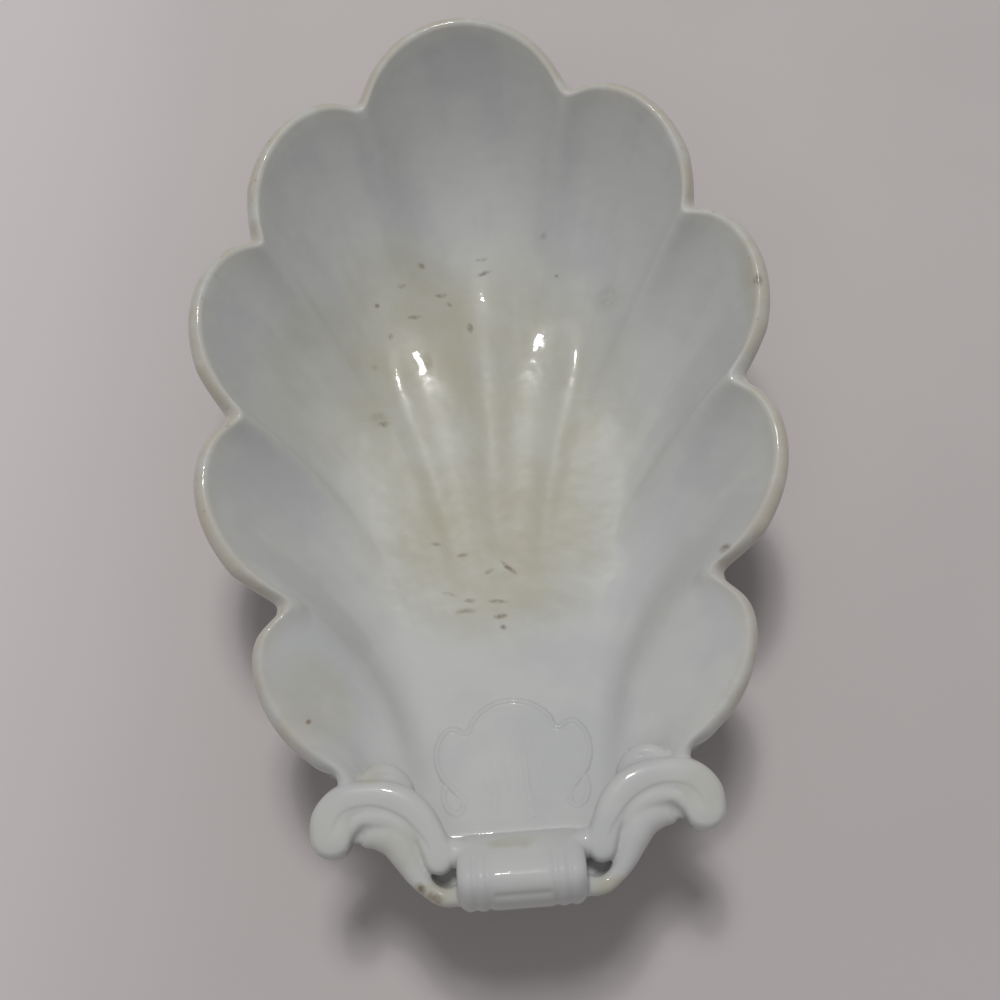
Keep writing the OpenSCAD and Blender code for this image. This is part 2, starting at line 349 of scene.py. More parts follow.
def shelf_row(share, height):
    """A row of points along the shelf, from its front edge at 0 to the slope at 1."""
    y = mix(front_edge_y, edge[:, 1], share)
    return np.stack([edge[:, 0], y, np.zeros_like(y) + height], -1)


def front_bead(turn):
    """A row of points on the shelf's round front edge."""
    y = front_edge_y - lip_reach * math.sin(turn)
    return np.stack([edge[:, 0], y, shelf_height - shelf_depth / 2 * (1 + math.cos(turn))], -1)


shelf_top = np.stack([shelf_row(share, shelf_height) for share in (0, 0.25, 0.5, 0.75)], 1)
shelf_under = np.stack([shelf_row(share, shelf_height - shelf_depth) for share in (1, 0.66, 0.33)], 1)
shelf_lip = np.stack([front_bead(turn) for turn in np.linspace(0, math.pi, lip_rows)], 1)
sections = np.concatenate([shelf_top, inner_points, bead_points, outer_points, shelf_under, shelf_lip], 1)
sections[:, -1] = sections[:, 0]

# How far along its flute each row of points lies, for the painted reflection streaks on the walls.
section_along = np.concatenate([
    np.zeros(shelf_top.shape[1]), inner_along[0], np.ones(bead_points.shape[1]), outer_along[0],
    np.zeros(shelf_under.shape[1] + shelf_lip.shape[1])])

# How near each point is to the rim's crown, for the wear on the rim.
wear_reach = 4.0
wear_end = 4.1
wear_end_run = 0.3
crown = bead_points[:, bead_points.shape[1] // 2]
rim_nearness = np.exp(-(np.linalg.norm(sections - crown[:, None], axis=-1) / wear_reach) ** 2)
rim_nearness = rim_nearness * (1 - ramp((np.abs(columns) - wear_end) / wear_end_run))[:, None]


def grid_piece(name, points):
    """A grid primitive whose vertices are moved to an array of points, column by column."""
    column_count, row_count = points.shape[:2]
    bpy.ops.mesh.primitive_grid_add(x_subdivisions=column_count - 1, y_subdivisions=row_count - 1, size=2)
    piece = bpy.context.object
    piece.name = name
    piece.data.name = name
    flat = np.empty(len(piece.data.vertices) * 3)
    piece.data.vertices.foreach_get("co", flat)
    spot = (flat.reshape(-1, 3) + 1) / 2
    column = np.rint(spot[:, 0] * (column_count - 1)).astype(int)
    row = np.rint(spot[:, 1] * (row_count - 1)).astype(int)
    piece.data.vertices.foreach_set("co", (points[column, row] * mm).ravel())
    piece.data.update()
    return piece, column, row


def point_values(piece, name, values):
    attribute = piece.data.attributes.new(name, "FLOAT", "POINT")
    attribute.data.foreach_set("value", values.astype(np.float32))


merge_gap = 0.002


def close_seams(piece, fill):
    """Merges what meets, closes open ends where asked and turns the faces outwards."""
    bpy.ops.object.select_all(action="DESELECT")
    bpy.context.view_layer.objects.active = piece
    piece.select_set(True)
    bpy.ops.object.mode_set(mode="EDIT")
    bpy.ops.mesh.select_all(action="SELECT")
    bpy.ops.mesh.remove_doubles(threshold=merge_gap * mm)
    if fill:
        bpy.ops.mesh.fill_holes(sides=0)
    bpy.ops.mesh.select_all(action="SELECT")
    bpy.ops.mesh.normals_make_consistent(inside=False)
    bpy.ops.object.mode_set(mode="OBJECT")
    bpy.ops.object.shade_smooth()


shell_bowl, bowl_column, bowl_row = grid_piece("glazed_shell_bowl", sections)
point_values(shell_bowl, "rim_nearness", rim_nearness[bowl_column, bowl_row])
point_values(shell_bowl, "flute", columns[bowl_column])
point_values(shell_bowl, "along", section_along[bowl_row])
close_seams(shell_bowl, fill=True)


def feed(tree, socket, value):
    if isinstance(value, bpy.types.NodeSocket):
        tree.links.new(value, socket)
    else:
        socket.default_value = value


def knot(tree, kind, sockets, **settings):
    """A shader node with its settings, and its sockets fed by values or by other nodes."""
    made = tree.nodes.new(kind)
    for key, value in settings.items():
        setattr(made, key, value)
    for socket, value in sockets.items():
        feed(tree, made.inputs[socket], value)
    return made


def sums(tree, operation, first, second):
    return knot(tree, "ShaderNodeMath", {0: first, 1: second}, operation=operation).outputs[0]


def tint(tree, share, first, second):
    return knot(tree, "ShaderNodeMix", {0: share, 6: first, 7: second}, data_type="RGBA").outputs[2]


def spread(tree, value, low, high):
    """0 below low and 1 above high, or the other way round where low is the larger."""
    sockets = {"Value": value, "From Min": low, "From Max": high}
    return knot(tree, "ShaderNodeMapRange", sockets, interpolation_type="SMOOTHSTEP").outputs[0]


def cloud(tree, place, scale, detail):
    sockets = {"Vector": place, "Scale": scale, "Detail": detail, "Roughness": 0.6}
    return knot(tree, "ShaderNodeTexNoise", sockets).outputs["Fac"]


def patch(tree, place, centre, radii, turn, soft):
    """1 inside an oval patch, fading over the soft share of its radius. Sizes are in millimetres."""
    sockets = {
        "Vector": place,
        "Location": [part * mm for part in centre],
        "Rotation": [0, 0, math.radians(turn)],
        "Scale": [part * mm for part in radii],
    }
    local = knot(tree, "ShaderNodeMapping", sockets, vector_type="TEXTURE").outputs[0]
    distance = knot(tree, "ShaderNodeVectorMath", {0: local}, operation="LENGTH").outputs["Value"]
    return spread(tree, distance, 1.0, 1.0 - soft)


glaze_white = (0.535, 0.535, 0.52, 1)
glaze_grey = (0.492, 0.494, 0.49, 1)
stain_cream = (0.42, 0.4, 0.305, 1)
rim_cream = (0.465, 0.425, 0.35, 1)
mark_brown = (0.2, 0.15, 0.1, 1)
glaze_rough = 0.3
scratch_rougher = 0.3
glaze_ior = 1.5
coat_weight = 0.7
coat_rough = 0.035
stain_soft = 0.55
mark_soft = 0.8
dull_soft = 0.5
ragged_reach = 3
nibbled_share = 0.5
swell_depth = 0.5
peel_depth = 0.02
skin_strength = 0.6


def moved(tree, operation, first, sockets):
    """A vector changed by one operation."""
    return knot(tree, "ShaderNodeVectorMath", {0: first, **sockets}, operation=operation).outputs[0]


def worn_glaze(name, stains, marks, dulled, worn_rim_and_painted_streaks):
    """Clear glaze on white clay: tone drift with painted reflection streaks on the bowl, cream stains, brown
    marks, dulled places and a rippled skin.
    """
    material = bpy.data.materials.new(name)
    material.use_nodes = True
    tree = material.node_tree
    shader = tree.nodes["Principled BSDF"]
    place = knot(tree, "ShaderNodeTexCoord", {}).outputs["Object"]
    ragged = knot(tree, "ShaderNodeTexNoise", {"Vector": place, "Scale": 260, "Detail": 3}).outputs["Color"]
    ragged = moved(tree, "SUBTRACT", ragged, {1: (0.5, 0.5, 0.5)})
    ragged = moved(tree, "SCALE", ragged, {"Scale": ragged_reach * mm})
    torn = moved(tree, "ADD", place, {1: ragged})
    nibbled = moved(tree, "SCALE", ragged, {"Scale": nibbled_share})
    nibbled = moved(tree, "ADD", place, {1: nibbled})
    drift = cloud(tree, place, scale=28, detail=3)
    # On the bowl, lighter and darker streaks along the flutes on the walls are painted reflection, mixed into
    # the tone drift.
    if worn_rim_and_painted_streaks:
        flute = knot(tree, "ShaderNodeAttribute", {}, attribute_name="flute").outputs["Fac"]
        along = knot(tree, "ShaderNodeAttribute", {}, attribute_name="along").outputs["Fac"]
        stretched = sums(tree, "MULTIPLY", along, 0.3)
        run = knot(tree, "ShaderNodeCombineXYZ", {"X": flute, "Y": stretched}).outputs[0]
        painted_reflection_streak = sums(tree, "SUBTRACT", cloud(tree, run, scale=4, detail=3), 0.5)
        painted_reflection_streak = sums(tree, "MULTIPLY", painted_reflection_streak, spread(tree, along, 0.15, 0.6))
        drift = sums(tree, "ADD", drift, sums(tree, "MULTIPLY", painted_reflection_streak, 0.6))
    colour = tint(tree, spread(tree, drift, 0.42, 0.62), glaze_white, glaze_grey)
    blotch = spread(tree, cloud(tree, place, scale=75, detail=6), 0.34, 0.66)
    for centre, radii, turn, strength in stains:
        spot = patch(tree, torn, centre, radii, turn, stain_soft)
        share = sums(tree, "MULTIPLY", spot, sums(tree, "ADD", 0.6, sums(tree, "MULTIPLY", blotch, 0.4)))
        colour = tint(tree, sums(tree, "MULTIPLY", share, strength), colour, stain_cream)
    if worn_rim_and_painted_streaks:
        near = knot(tree, "ShaderNodeAttribute", {}, attribute_name="rim_nearness").outputs["Fac"]
        rubbed = sums(tree, "MULTIPLY", near, spread(tree, cloud(tree, place, scale=95, detail=5), 0.25, 0.6))
        colour = tint(tree, rubbed, colour, rim_cream)
        fleck = spread(tree, cloud(tree, place, scale=420, detail=4), 0.62, 0.74)
        flecked = sums(tree, "MULTIPLY", sums(tree, "MULTIPLY", near, fleck), 0.5)
        colour = tint(tree, flecked, colour, mark_brown)
    scratch = 0.0
    broken = spread(tree, cloud(tree, place, scale=700, detail=4), 0.36, 0.6)
    broken = sums(tree, "ADD", 0.4, sums(tree, "MULTIPLY", broken, 0.6))
    for centre, radii, turn, strength in marks:
        spot = sums(tree, "MULTIPLY", patch(tree, nibbled, centre, radii, turn, mark_soft), strength)
        scratch = sums(tree, "MAXIMUM", scratch, spot)
    if marks:
        scratch = sums(tree, "MULTIPLY", scratch, broken)
        colour = tint(tree, scratch, colour, mark_brown)
        rougher = sums(tree, "MULTIPLY", scratch, scratch_rougher)
        feed(tree, shader.inputs["Roughness"], sums(tree, "ADD", glaze_rough, rougher))
    else:
        shader.inputs["Roughness"].default_value = glaze_rough
    feed(tree, shader.inputs["Base Color"], colour)
    shader.inputs["IOR"].default_value = glaze_ior
    shader.inputs["Coat Weight"].default_value = coat_weight
    dull = coat_rough
    for centre, radii, turn, strength in dulled:
        spot = sums(tree, "MULTIPLY", patch(tree, torn, centre, radii, turn, dull_soft), strength)
        dull = sums(tree, "ADD", dull, spot)
    feed(tree, shader.inputs["Coat Roughness"], dull)
    swell = sums(tree, "MULTIPLY", cloud(tree, place, scale=70, detail=2), swell_depth * mm)
    peel = sums(tree, "MULTIPLY", cloud(tree, place, scale=700, detail=2), peel_depth * mm)
    skin = sums(tree, "ADD", swell, peel)
    bump = knot(tree, "ShaderNodeBump", {"Height": skin, "Distance": 1.0, "Strength": skin_strength})
    feed(tree, shader.inputs["Normal"], bump.outputs["Normal"])
    feed(tree, shader.inputs["Coat Normal"], bump.outputs["Normal"])
    return material


# Each stain, mark or dulled place: its middle and radii in millimetres, its turn in degrees, its strength.
bowl_stains = [
    ((0, 9, 10), (58, 82, 60), 0, 0.78),
    ((-22, 48, 14), (30, 40, 40), 20, 0.65),
    ((-2, -30, 14), (44, 36, 40), 8, 0.72),
    ((-50, 26, 20), (26, 36, 30), 15, 0.4),
    ((81, 30, 53), (7, 26, 12), 0, 0.5),
    ((-50, -78, 42), (12, 16, 20), 30, 0.5),
]
# The photograph's camera, fitted to the rim's notches.
# It also gives the place on the bowl of each mark that is listed by its pixel in the picture.
picture_size = 1000
camera_sensor = 36.0
camera_lens = 37.8
camera_height_angle = math.radians(68)
camera_roll = math.radians(-4.48)
camera_place = Vector((1.74, -135.6, 311.5)) * mm
forward = Vector((0, math.cos(camera_height_angle), -math.sin(camera_height_angle)))
level = Vector((1, 0, 0))
upward = level.cross(forward)
right_way = math.cos(camera_roll) * level + math.sin(camera_roll) * upward
up_way = -math.sin(camera_roll) * level + math.cos(camera_roll) * upward
sight = inner_points - np.array(camera_place) / mm
sight_scale = camera_lens / camera_sensor * picture_size / (sight @ np.array(forward))
picture_x = picture_size / 2 + sight_scale * (sight @ np.array(right_way))
picture_y = picture_size / 2 - sight_scale * (sight @ np.array(up_way))
inner_picture = np.stack([picture_x, picture_y], -1)


def seen_place(pixel):
    """The place on the bowl's inner face that shows at a pixel of the photograph."""
    gap = np.linalg.norm(inner_picture - pixel, axis=-1)
    column, row = np.unravel_index(np.argmin(gap), gap.shape)
    corner = inner_picture[column, row]
    beside = inner_picture[column + 1, row] - corner
    beyond = inner_picture[column, row + 1] - corner
    over, further = np.linalg.solve(np.stack([beside, beyond], 1), pixel - corner)
    place = inner_points[column, row]
    place = place + over * (inner_points[column + 1, row] - inner_points[column, row])
    return place + further * (inner_points[column, row + 1] - inner_points[column, row])


# These marks have a pixel of the photograph in place of their middle.
picked_marks = {
    "left_dash": ((414.6, 317.6), (3.6, 1.2, 20), 2, 0.75),
    "middle_dash": ((441.4, 295.6), (3, 1.1, 20), 12, 0.7),
    "short_tick": ((450, 305), (1.6, 1, 20), -40, 0.55),
    "upper_dash": ((481.6, 259.8), (3, 1, 20), 8, 0.45),
    "upper_arc": ((483.5, 273.6), (3.2, 1.1, 20), 10, 0.75),
    "dark_blob": ((470, 328), (1.4, 2.8, 20), 8, 0.85),
    "back_blob": ((421.3, 266), (1.7, 1.5, 20), 0, 0.65),
    "pale_dash": ((402.2, 285.6), (2, 1.1, 20), 20, 0.4),
    "left_dot": ((377.3, 306), (1.1, 1.1, 20), 0, 0.75),
    "lower_dot": ((390.7, 336.7), (1.2, 1.5, 20), 0, 0.6),
    "faint_dot": ((375.4, 367.3), (1.6, 1.2, 20), 0, 0.3),
    "side_blotch": ((383, 423.7), (3, 1.6, 20), 10, 0.7),
    "blotch_shade": ((379, 417), (4.2, 2.6, 20), 0, 0.3),
    "long_smear": ((428, 361.6), (2.6, 5.4, 20), 0, 0.25),
    "right_blot": ((542.8, 236.3), (1.9, 1.6, 20), 0, 0.3),
    "right_dot": ((556.8, 276), (0.9, 0.9, 20), 0, 0.7),
    "pale_stain": ((606.9, 298.4), (6, 6, 20), 0, 0.2),
    "front_dash": ((435.7, 543.8), (2.4, 1, 20), -10, 0.45),
    "front_tick": ((462.4, 555.3), (2.4, 1, 20), 5, 0.55),
    "deep_diagonal": ((508.8, 567.6), (4.4, 1.1, 20), -50, 0.85),
    "diagonal_tick": ((489.2, 571), (2, 1, 20), 20, 0.55),
    "slope_dash": ((470, 600.6), (2.6, 1, 20), 0, 0.55),
    "slope_wave": ((498.8, 601.6), (4.4, 1, 20), -4, 0.65),
    "slope_streak": ((466.3, 611), (4.5, 1.3, 20), 3, 0.5),
    "slope_blob": ((500.7, 616.5), (2.6, 1.2, 20), 0, 0.8),
    "slope_speck": ((503.2, 626.8), (1.4, 1.1, 20), -40, 0.75),
    "faint_scratch": ((449, 594), (3.4, 0.9, 20), -15, 0.3),
    "lobe_dot": ((308, 722), (1, 1, 5), 0, 0.8),
}
notch_chip = ((60.2, -47.2, 46), (2.6, 1.8, 10), 40, 0.85)
rim_scuff = ((80.6, 30, 53), (1.8, 2.8, 8), 0, 0.7)
bowl_marks = [notch_chip, rim_scuff]
for pixel, radii, turn, strength in picked_marks.values():
    bowl_marks.append((seen_place(pixel), radii, turn, strength))
floor_dulled = [((0, -12, 10), (80, 52, 60), 0, 0.4)]
bowl_glaze = worn_glaze("worn_white_glaze_bowl", bowl_stains, bowl_marks, floor_dulled, True)
shell_bowl.data.materials.append(bowl_glaze)
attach(shell_bowl, "root")
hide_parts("shell_bowl")

# Foot ring
# A strip of the same clay, luted under the floor in an oval and turned to a tapered section.
# Its sides are glazed, and the land that it stands on is wiped bare.
ring_low, ring_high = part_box("foot_ring")
ring_middle_y = (ring_low.y + ring_high.y) / 2 / mm
ring_end_radius = 22.0
ring_unit = 8.0
ring_profile = [
    (0, 5.2), (-0.15, 4.2), (-0.75, 1.2), (-1.1, 0.5), (-1.8, 0.08), (-2.6, 0), (-4.2, 0), (-5, 0.08),
    (-5.6, 0.5), (-5.8, 1.2), (-6.7, 4.2), (-7, 5.2), (-3.5, 5.4),
]


def drawn_profile(name, points):
    """A line of vertices, drawn from a merged plane by extruding one point after another."""
    bpy.ops.object.select_all(action="DESELECT")
    bpy.ops.mesh.primitive_plane_add(size=mm, location=(0, 0, 0))
    piece = bpy.context.object
    piece.name = name
    piece.data.name = name
    bpy.ops.object.mode_set(mode="EDIT")
    bpy.ops.mesh.select_all(action="SELECT")
    bpy.ops.mesh.merge(type="CENTER")
    bpy.ops.transform.translate(value=Vector(points[0]) * mm)
    for before, after in zip(points, points[1:]):
        step = (Vector(after) - Vector(before)) * mm
        bpy.ops.mesh.extrude_vertices_move(TRANSFORM_OT_translate={"value": step})
    return piece


# Four arcs make the oval. Their middles and the joints between them lie on triangles of sides 3, 4 and 5.
arc_steps = 40
side_radius = ring_end_radius + 5 * ring_unit
ring_start = Vector((-4 * ring_unit + 0.8 * side_radius, ring_middle_y - 0.6 * side_radius, 0))
ring_out = Vector((0.8, -0.6, 0))
ring_points = [ring_start + ring_out * inset + Vector((0, 0, height)) for inset, height in ring_profile]
foot_ring = drawn_profile("wiped_foot_ring", ring_points + ring_points[:1])
side_turn = 2 * math.atan2(3, 4)
ring_arcs = [
    ((-4 * ring_unit, ring_middle_y), side_turn),
    ((0, ring_middle_y + 3 * ring_unit), math.pi - side_turn),
    ((4 * ring_unit, ring_middle_y), side_turn),
    ((0, ring_middle_y - 3 * ring_unit), math.pi - side_turn),
]
bpy.ops.mesh.select_all(action="SELECT")
for (centre_x, centre_y), turn in ring_arcs:
    bpy.ops.mesh.spin(steps=arc_steps, angle=-turn, center=(centre_x * mm, centre_y * mm, 0), axis=(0, 0, 1))
bpy.ops.object.mode_set(mode="OBJECT")
close_seams(foot_ring, fill=False)

bare_clay = (0.5, 0.43, 0.33, 1)
foot_rough = 0.18
bare_rougher = 0.6
grit_depth = 0.06
wipe_wave = 1.2


def wiped_foot():
    """Glaze on the sides of the ring, and bare gritty clay on the land."""
    material = bpy.data.materials.new("wiped_biscuit")
    material.use_nodes = True
    tree = material.node_tree
    shader = tree.nodes["Principled BSDF"]
    place = knot(tree, "ShaderNodeTexCoord", {}).outputs["Object"]
    height = knot(tree, "ShaderNodeSeparateXYZ", {0: place}).outputs["Z"]
    wave = sums(tree, "MULTIPLY", cloud(tree, place, scale=180, detail=4), wipe_wave * mm)
    wavy = sums(tree, "ADD", height, wave)
    bare = spread(tree, wavy, 1.5 * mm, 1.1 * mm)
    grit = spread(tree, cloud(tree, place, scale=1600, detail=4), 0.35, 0.7)
    clay = tint(tree, grit, bare_clay, mark_brown)
    clay = tint(tree, 0.75, clay, bare_clay)
    worn = spread(tree, cloud(tree, place, scale=90, detail=4), 0.4, 0.7)
    glazed = tint(tree, worn, glaze_white, rim_cream)
    feed(tree, shader.inputs["Base Color"], tint(tree, bare, glazed, clay))
    rougher = sums(tree, "MULTIPLY", bare, bare_rougher)
    feed(tree, shader.inputs["Roughness"], sums(tree, "ADD", foot_rough, rougher))
    shader.inputs["IOR"].default_value = glaze_ior
    rough = sums(tree, "MULTIPLY", sums(tree, "MULTIPLY", grit, bare), grit_depth * mm)
    bump = knot(tree, "ShaderNodeBump", {"Height": rough, "Distance": 1.0, "Strength": 0.8})
    feed(tree, shader.inputs["Normal"], bump.outputs["Normal"])
    return material


foot_ring.data.materials.append(wiped_foot())
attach(foot_ring, "root")
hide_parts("foot_ring")

# Handle roll and scrolls
# A short turned bar of clay lies along the front of the shelf, with a scroll of rolled clay at each side.
# A scroll's fat roll sweeps from a ball end over the crown into the bar, and a second roll lies in its crook,
# comes down as the leg and curls round a small eye. All are luted to the shelf, and glaze fills the joints.
roll_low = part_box("handle_roll")[0]
bar_half = 15.6
bar_start = -4.0
bar_end_round = 3.2
bar_end_narrowing = 0.34
bar_profile = [
    (18.1, -1), (17.5, 1.8), (15.6, 5.2), (12.8, 8.6), (9.8, 11), (6.9, 11.9), (4.3, 11), (2.1, 8.8),
    (0.6, 5.9), (0.1, 3), (1, 0.4), (3.2, -1.6), (8, -2.4), (14, -2.4), (18.1, -1),
]
bar_middle = Vector((0, roll_low.y / mm + 9, shelf_height + 4.5))


def rounded_line(points, steps):
    """A smooth line through points."""
    points = np.array(points, float)
    ends = np.concatenate([2 * points[:1] - points[1:2], points, 2 * points[-1:] - points[-2:-1]])
    line = []
    for a, b, c, d in zip(ends, ends[1:], ends[2:], ends[3:]):
        for t in np.linspace(0, 1, steps, endpoint=False):
            line.append(b + 0.5 * t * (c - a + t * (2 * a - 5 * b + 4 * c - d + t * (3 * (b - c) + d - a))))
    line.append(points[-1])
    return np.array(line)


# The bar's section is drawn from its front edge and drawn out along the bar, and its end is rounded over.
bar_section = [(bar_start, roll_low.y / mm + y, shelf_height + z) for y, z in rounded_line(bar_profile, 5)]
bar_clay = drawn_profile("bar_clay", bar_section)
bpy.ops.mesh.select_all(action="SELECT")
straight = bar_half - bar_end_round - bar_start
bpy.ops.mesh.extrude_region_move(TRANSFORM_OT_translate={"value": (straight * mm, 0, 0)})
reached = 0.0
width = 1.0
for degrees in (25, 50, 70, 85):
    further = bar_end_round * math.sin(math.radians(degrees))
    narrower = 1 - bar_end_narrowing * (1 - math.cos(math.radians(degrees)))
    bpy.ops.mesh.extrude_region_move(TRANSFORM_OT_translate={"value": ((further - reached) * mm, 0, 0)})
    bpy.ops.transform.resize(value=(1, narrower / width, narrower / width), center_override=bar_middle * mm)
    reached = further
    width = narrower
bpy.ops.object.mode_set(mode="OBJECT")
close_seams(bar_clay, fill=True)

# The rolls of the right scroll. Each station has its place, its height above the shelf and its radius.
main_roll = [
    (45.6, -112.4, 3.2, 5.8), (45.6, -108.4, 3.4, 5.5), (42.4, -104.8, 3.6, 4.9), (36.8, -104, 3.8, 4.3),
    (31.6, -104.6, 3.8, 4.3), (27.2, -106.8, 3.8, 4.4), (24, -110, 4, 4.2), (22, -113.6, 4.2, 4),
    (20.6, -116.8, 4.4, 3.9), (19.7, -119.6, 4.4, 3.9),
]
web_roll = [(20.4, -117, 2.8, 3.4), (17.4, -118, 3.2, 3.5), (14, -119, 3.4, 3.5)]
leg_roll = [
    (38.4, -112.6, 1.5, 3), (34.4, -112.6, 1.7, 4), (30.2, -114.2, 2, 4.6), (27.5, -118.2, 2.4, 4.2),
    (25.5, -122.5, 2.8, 3.1), (23, -126, 3, 2.2), (19.8, -128.2, 3.1, 2.2), (16.6, -128.4, 3.3, 2.4),
    (13.4, -127, 3.6, 2.6),
]
terrace_roll = [
    (43, -112.4, 2.4, 3.2), (40.6, -109.9, 3.2, 3.3), (37.6, -109, 3.4, 3.4), (33.6, -108.8, 3.4, 3.5),
    (29.6, -110.4, 3.3, 3.6), (26.4, -113.8, 3, 3.3),
]
ear_roll = [
    (38, -99.8, 1.2, 2.2), (35.4, -98, 0, 2.4), (32.4, -97.8, -0.6, 2.5), (29.8, -99.2, -1.1, 2.5),
    (27.8, -101.6, -1.6, 2.3),
]
bed_roll = [(41.6, -104.4, 0.8, 4.4), (36.8, -103, 0.4, 4.4), (31.4, -103.6, 0, 4.4), (27, -107.4, 0.4, 4.2)]
eye_floor = [
    (21, -122.4, -2.6, 2.2), (20, -125, -2.6, 2.2), (17, -125.6, -2.6, 2.2), (14.6, -123.2, -2.6, 2.2),
]
end_fill = [(42, -102.2, 0, 3.2), (40.8, -106, -0.2, 4.2), (38.2, -110.4, -0.2, 4)]
scroll_flat = 0.9
scroll_flat_lift = 2
cap_turns = np.radians([20, 40, 60, 75, 86])


def round_end(tip, beside):
    """Points that close a roll of clay with a half ball."""
    way = unit(tip[:3] - beside[:3])
    places = tip[:3] + tip[3] * np.sin(cap_turns)[:, None] * way
    return np.concatenate([places, tip[3] * np.cos(cap_turns)[:, None]], 1)


def clay_roll(stations):
    """A round roll of clay with ball ends, drawn as a bevelled path through its stations."""
    line = rounded_line(stations, 10)
    line = np.concatenate([round_end(line[0], line[1])[::-1], line, round_end(line[-1], line[-2])])
    bpy.ops.curve.primitive_nurbs_path_add(location=(0, 0, 0))
    roll = bpy.context.object
    roll.data.splines.clear()
    spline = roll.data.splines.new("POLY")
    spline.points.add(len(line) - 1)
    for point, (x, y, lift, radius) in zip(spline.points, line):
        point.co = (x * mm, y * mm, (shelf_height + lift) * mm, 1)
        point.radius = radius
    roll.data.dimensions = "3D"
    roll.data.bevel_depth = mm
    roll.data.bevel_resolution = 10
    roll.data.use_fill_caps = True
    bpy.ops.object.convert(target="MESH")
    return bpy.context.object


def make_active(piece):
    bpy.ops.object.select_all(action="DESELECT")
    piece.select_set(True)
    bpy.context.view_layer.objects.active = piece


def finish_modifier(piece, kind, **settings):
    make_active(piece)
    modifier = piece.modifiers.new(kind.lower(), kind)
    for key, value in settings.items():
        setattr(modifier, key, value)
    bpy.ops.object.modifier_apply(modifier=modifier.name)


def joined(name, pieces):
    make_active(pieces[0])
    for piece in pieces:
        piece.select_set(True)
    bpy.ops.object.join()
    pieces[0].name = name
    pieces[0].data.name = name
    return pieces[0]


def copied(name, piece):
    """A copy with a mesh of its own and without materials."""
    copy = bpy.data.objects.new(name, piece.data.copy())
    bpy.context.collection.objects.link(copy)
    copy.data.name = name
    copy.data.materials.clear()
    return copy


def trim(piece, place, way, fill):
    """Cuts a solid with a plane and takes off the side that the way points to."""
    make_active(piece)
    bpy.ops.object.mode_set(mode="EDIT")
    bpy.ops.mesh.select_all(action="SELECT")
    cut = {"plane_co": Vector(place) * mm, "plane_no": way, "threshold": 0.001 * mm}
    bpy.ops.mesh.bisect(use_fill=fill, clear_outer=True, **cut)
    bpy.ops.object.mode_set(mode="OBJECT")


roll_paths = (main_roll, web_roll, leg_roll, terrace_roll, ear_roll, bed_roll, eye_floor, end_fill)
rolls = [clay_roll(stations) for stations in roll_paths]
handle_clay = joined("handle_clay", rolls)
bpy.ops.object.mode_set(mode="EDIT")
bpy.ops.mesh.select_all(action="SELECT")
flat_middle = Vector((0, 0, shelf_height + scroll_flat_lift)) * mm
bpy.ops.transform.resize(value=(1, 1, scroll_flat), center_override=flat_middle)
bpy.ops.object.mode_set(mode="OBJECT")

# A bed of the bowl's own form, just under its face, takes part in the smoothing.
# So the joints between the rolls and the bowl run out on it.
bed_depth = 0.1
bed_back_y = -88.0
bed_left_x = -8
remesh_size = 0.35
shelf_bed = copied("shelf_bed", shell_bowl)
trim(shelf_bed, (0, bed_back_y, 0), (0, 1, 0), True)
trim(shelf_bed, (bed_left_x, 0, 0), (-1, 0, 0), True)
finish_modifier(shelf_bed, "DISPLACE", strength=-bed_depth * mm, mid_level=0)
handle_clay = joined("handle_clay", [handle_clay, bar_clay, shelf_bed])
handle_clay.data.remesh_voxel_size = remesh_size * mm
bpy.ops.object.voxel_remesh()


def mesh_points(piece, kind):
    """The places or the normals of a piece's points, places in millimetres."""
    flat = np.empty(len(piece.data.vertices) * 3)
    piece.data.vertices.foreach_get(kind, flat)
    return flat.reshape(-1, 3) / mm if kind == "co" else flat.reshape(-1, 3)


def move_points(piece, points):
    piece.data.vertices.foreach_set("co", (points * mm).ravel())
    piece.data.update()


def line_distance(points, line):
    """Distance in plan from each point to a line of points, and the side of the line that it lies on."""
    nearest = np.full(len(points), np.inf)
    side = np.zeros(len(points))
    for start, end in zip(line, line[1:]):
        chord = np.subtract(end, start)
        away = points[:, :2] - start
        share = np.clip(away @ chord / (chord @ chord), 0, 1)
        gap = np.linalg.norm(away - share[:, None] * chord, axis=1)
        turned = np.sign(chord[0] * away[:, 1] - chord[1] * away[:, 0])
        side = np.where(gap < nearest, turned, side)
        nearest = np.minimum(nearest, gap)
    return nearest, side


def hollow(distance, depth, width):
    """Depth of a soft groove, or height of a soft ridge, at a distance from its line."""
    return depth * np.exp(-((distance / width) ** 2))


# The crown of the scroll is patted flat, and then all edges are softened.
flat_top = shelf_height + 6.2
pat_share = 0.5
soft_rounds = 34
clay = mesh_points(handle_clay, "co")
clay[:, 2] -= pat_share * np.maximum(0, clay[:, 2] - flat_top) * ramp((clay[:, 0] - bar_half) / 3)
move_points(handle_clay, clay)
finish_modifier(handle_clay, "SMOOTH", factor=0.5, iterations=soft_rounds)

